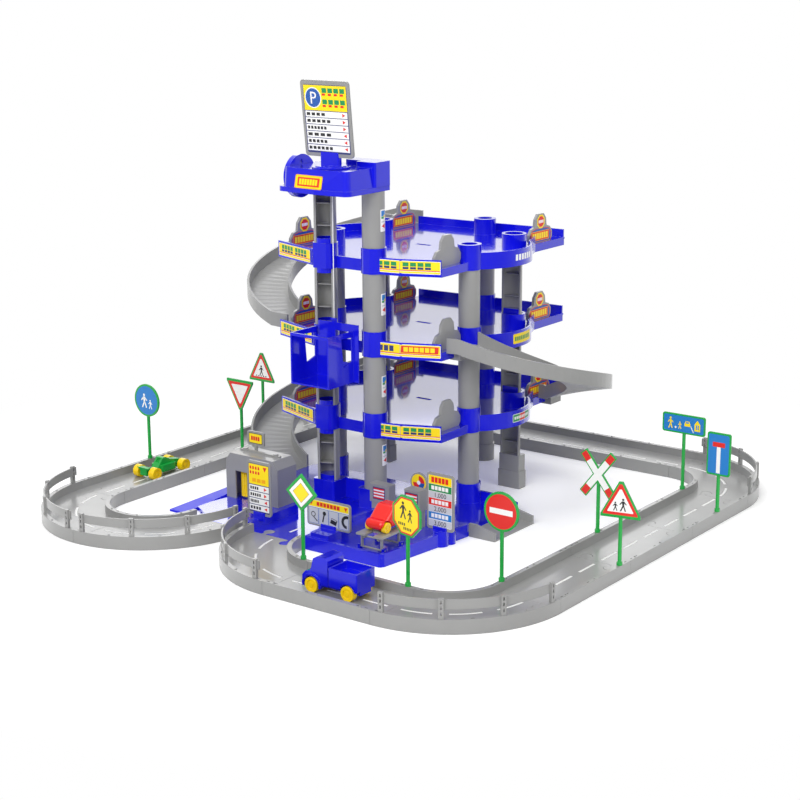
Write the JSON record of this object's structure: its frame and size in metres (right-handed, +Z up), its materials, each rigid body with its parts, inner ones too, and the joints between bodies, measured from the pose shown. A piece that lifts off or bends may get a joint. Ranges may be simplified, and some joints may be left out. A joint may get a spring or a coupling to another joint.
{
  "type": "toy parking garage",
  "caption": "Toy parking garage with road loop, decks on columns, helical ramps, winch lift, car wash, service yard with hoist, traffic signs and small vehicles",
  "frame": {"origin": "middle of the road loop's rectangle on the play floor, between its straight sides", "axes": "+X along the front road to the right, +Y from the front road toward the back road, +Z up"},
  "size_m": [1.0419, 0.988, 0.72],
  "materials": {
    "grey_plastic": "satin moulded",
    "blue_plastic": "glossy moulded",
    "yellow_plastic": "glossy moulded",
    "green_plastic": "glossy moulded",
    "red_plastic": "glossy moulded",
    "white_cord": "braided"
  },
  "bodies": {
    "garage": {"road_front": "grey_plastic", "road_right": "grey_plastic", "road_back": "grey_plastic", "road_left": "grey_plastic", "curve_front_right": "grey_plastic", "curve_back_right": "grey_plastic", "curve_back_left": "grey_plastic", "curve_left_outer": "grey_plastic", "curve_left_inner": "grey_plastic", "curve_front_left": "grey_plastic", "rail_front_right": "grey_plastic", "rail_back_right": "grey_plastic", "rail_back_left": "grey_plastic", "rail_left_outer": "grey_plastic", "rail_left_inner": "grey_plastic", "rail_front_left": "grey_plastic", "base_plate": "blue_plastic", "exit_ramp": "grey_plastic", "wash_ramp": "blue_plastic", "wash_house": "grey_plastic", "wash_sign": "grey_plastic", "roof_plate": "grey_plastic", "service_sign": "grey_plastic", "price_sign": "grey_plastic", "fuel_pumps": "grey_plastic", "column_lift_left": "grey_plastic", "column_lift_right": "grey_plastic", "column_front_right": "grey_plastic", "column_ramp_right": "grey_plastic", "column_back": "grey_plastic", "column_front_left": "grey_plastic", "column_ramp_left": "grey_plastic", "deck_lower": "blue_plastic", "deck_middle": "blue_plastic", "deck_upper": "blue_plastic", "exit_boards": "grey_plastic", "ramp_upper_left": "grey_plastic", "ramp_right": "grey_plastic", "ramp_lower_left": "grey_plastic", "lift_head": "blue_plastic", "lift_cord": "white_cord", "traffic_signs_front": "green_plastic", "traffic_signs_back": "green_plastic"},
    "hoist_front": {"hoist_leg_front": "grey_plastic"},
    "hoist_back": {"hoist_leg_back": "grey_plastic"},
    "hoist_top": {"hoist_platform": "grey_plastic"},
    "lift": {"lift_cage": "blue_plastic"},
    "winder": {"winding_wheel": "blue_plastic"},
    "turning_sign": {"sign_turntable": "blue_plastic", "billboard": "grey_plastic"},
    "roller": {"wash_roller": "yellow_plastic"},
    "truck": {"truck_body": "blue_plastic"},
    "truck_front_wheels": {"truck_axle_front": "yellow_plastic"},
    "truck_rear_wheels": {"truck_axle_rear": "yellow_plastic"},
    "racer": {"racer_body": "green_plastic"},
    "racer_front_wheels": {"racer_axle_front": "yellow_plastic"},
    "racer_rear_wheels": {"racer_axle_rear": "yellow_plastic"},
    "red_car": {"car_body": "red_plastic"},
    "car_front_wheels": {"car_axle_front": "yellow_plastic"},
    "car_rear_wheels": {"car_axle_rear": "yellow_plastic"}
  },
  "joints": [
    {"name": "lift_travel", "type": "slide", "parent": "garage", "child": "lift", "axis": [0, 0, 1], "range_m": [-0.206, 0.19], "deforming": ["lift_cord"]},
    {"name": "winding", "type": "hinge", "parent": "garage", "child": "winder", "pos_m": [-0.1338, -0.117, 0.562], "axis": [1, 0, 0], "continuous": true},
    {"name": "sign_turn", "type": "hinge", "parent": "garage", "child": "turning_sign", "pos_m": [-0.052, -0.13, 0.581], "axis": [0, 0, 1], "continuous": true},
    {"name": "roller_spin", "type": "hinge", "parent": "garage", "child": "roller", "pos_m": [-0.22, -0.167, 0.03], "axis": [0, 0, 1], "continuous": true},
    {"name": "hoist_front_swing", "type": "hinge", "parent": "garage", "child": "hoist_front", "pos_m": [0.137, -0.277, 0.019], "axis": [1, 0, 0], "range_deg": [0, 64]},
    {"name": "hoist_back_swing", "type": "hinge", "parent": "garage", "child": "hoist_back", "pos_m": [0.137, -0.233, 0.019], "axis": [1, 0, 0], "range_deg": [0, 64]},
    {"name": "hoist_level", "type": "hinge", "parent": "hoist_front", "child": "hoist_top", "pos_m": [0.137, -0.277, 0.0366], "axis": [1, 0, 0], "range_deg": [-64, 0]},
    {"name": "truck_drive", "type": "slide", "parent": "garage", "child": "truck", "axis": [1, 0, 0], "range_m": [-0.02, 0.06]},
    {"name": "truck_front_roll", "type": "hinge", "parent": "truck", "child": "truck_front_wheels", "pos_m": [0.165, -0.437, 0.0198], "axis": [0, 1, 0], "continuous": true},
    {"name": "truck_rear_roll", "type": "hinge", "parent": "truck", "child": "truck_rear_wheels", "pos_m": [0.232, -0.437, 0.0198], "axis": [0, 1, 0], "continuous": true},
    {"name": "racer_drive", "type": "slide", "parent": "garage", "child": "racer", "axis": [0, 1, 0], "range_m": [-0.08, 0.3]},
    {"name": "racer_front_roll", "type": "hinge", "parent": "racer", "child": "racer_front_wheels", "pos_m": [-0.437, -0.187, 0.0193], "axis": [1, 0, 0], "continuous": true},
    {"name": "racer_rear_roll", "type": "hinge", "parent": "racer", "child": "racer_rear_wheels", "pos_m": [-0.437, -0.114, 0.0193], "axis": [1, 0, 0], "continuous": true},
    {"name": "red_car_drive", "type": "slide", "parent": "hoist_top", "child": "red_car", "axis": [0, 1, 0], "range_m": [-0.008, 0.008]},
    {"name": "car_front_roll", "type": "hinge", "parent": "red_car", "child": "car_front_wheels", "pos_m": [0.137, -0.261, 0.0508], "axis": [1, 0, 0], "continuous": true},
    {"name": "car_rear_roll", "type": "hinge", "parent": "red_car", "child": "car_rear_wheels", "pos_m": [0.137, -0.219, 0.0508], "axis": [1, 0, 0], "continuous": true}
  ],
  "couplings": [
    {"joint": "winding", "follows": "lift_travel", "rad_per_m": 91.74},
    {"joint": "hoist_back_swing", "follows": "hoist_front_swing", "ratio": 1},
    {"joint": "hoist_level", "follows": "hoist_front_swing", "ratio": -1},
    {"joint": "truck_front_roll", "follows": "truck_drive", "rad_per_m": 86.96},
    {"joint": "truck_rear_roll", "follows": "truck_drive", "rad_per_m": 86.96},
    {"joint": "racer_front_roll", "follows": "racer_drive", "rad_per_m": -90.91},
    {"joint": "racer_rear_roll", "follows": "racer_drive", "rad_per_m": -90.91},
    {"joint": "car_front_roll", "follows": "red_car_drive", "rad_per_m": -117.65},
    {"joint": "car_rear_roll", "follows": "red_car_drive", "rad_per_m": -117.65}
  ]
}
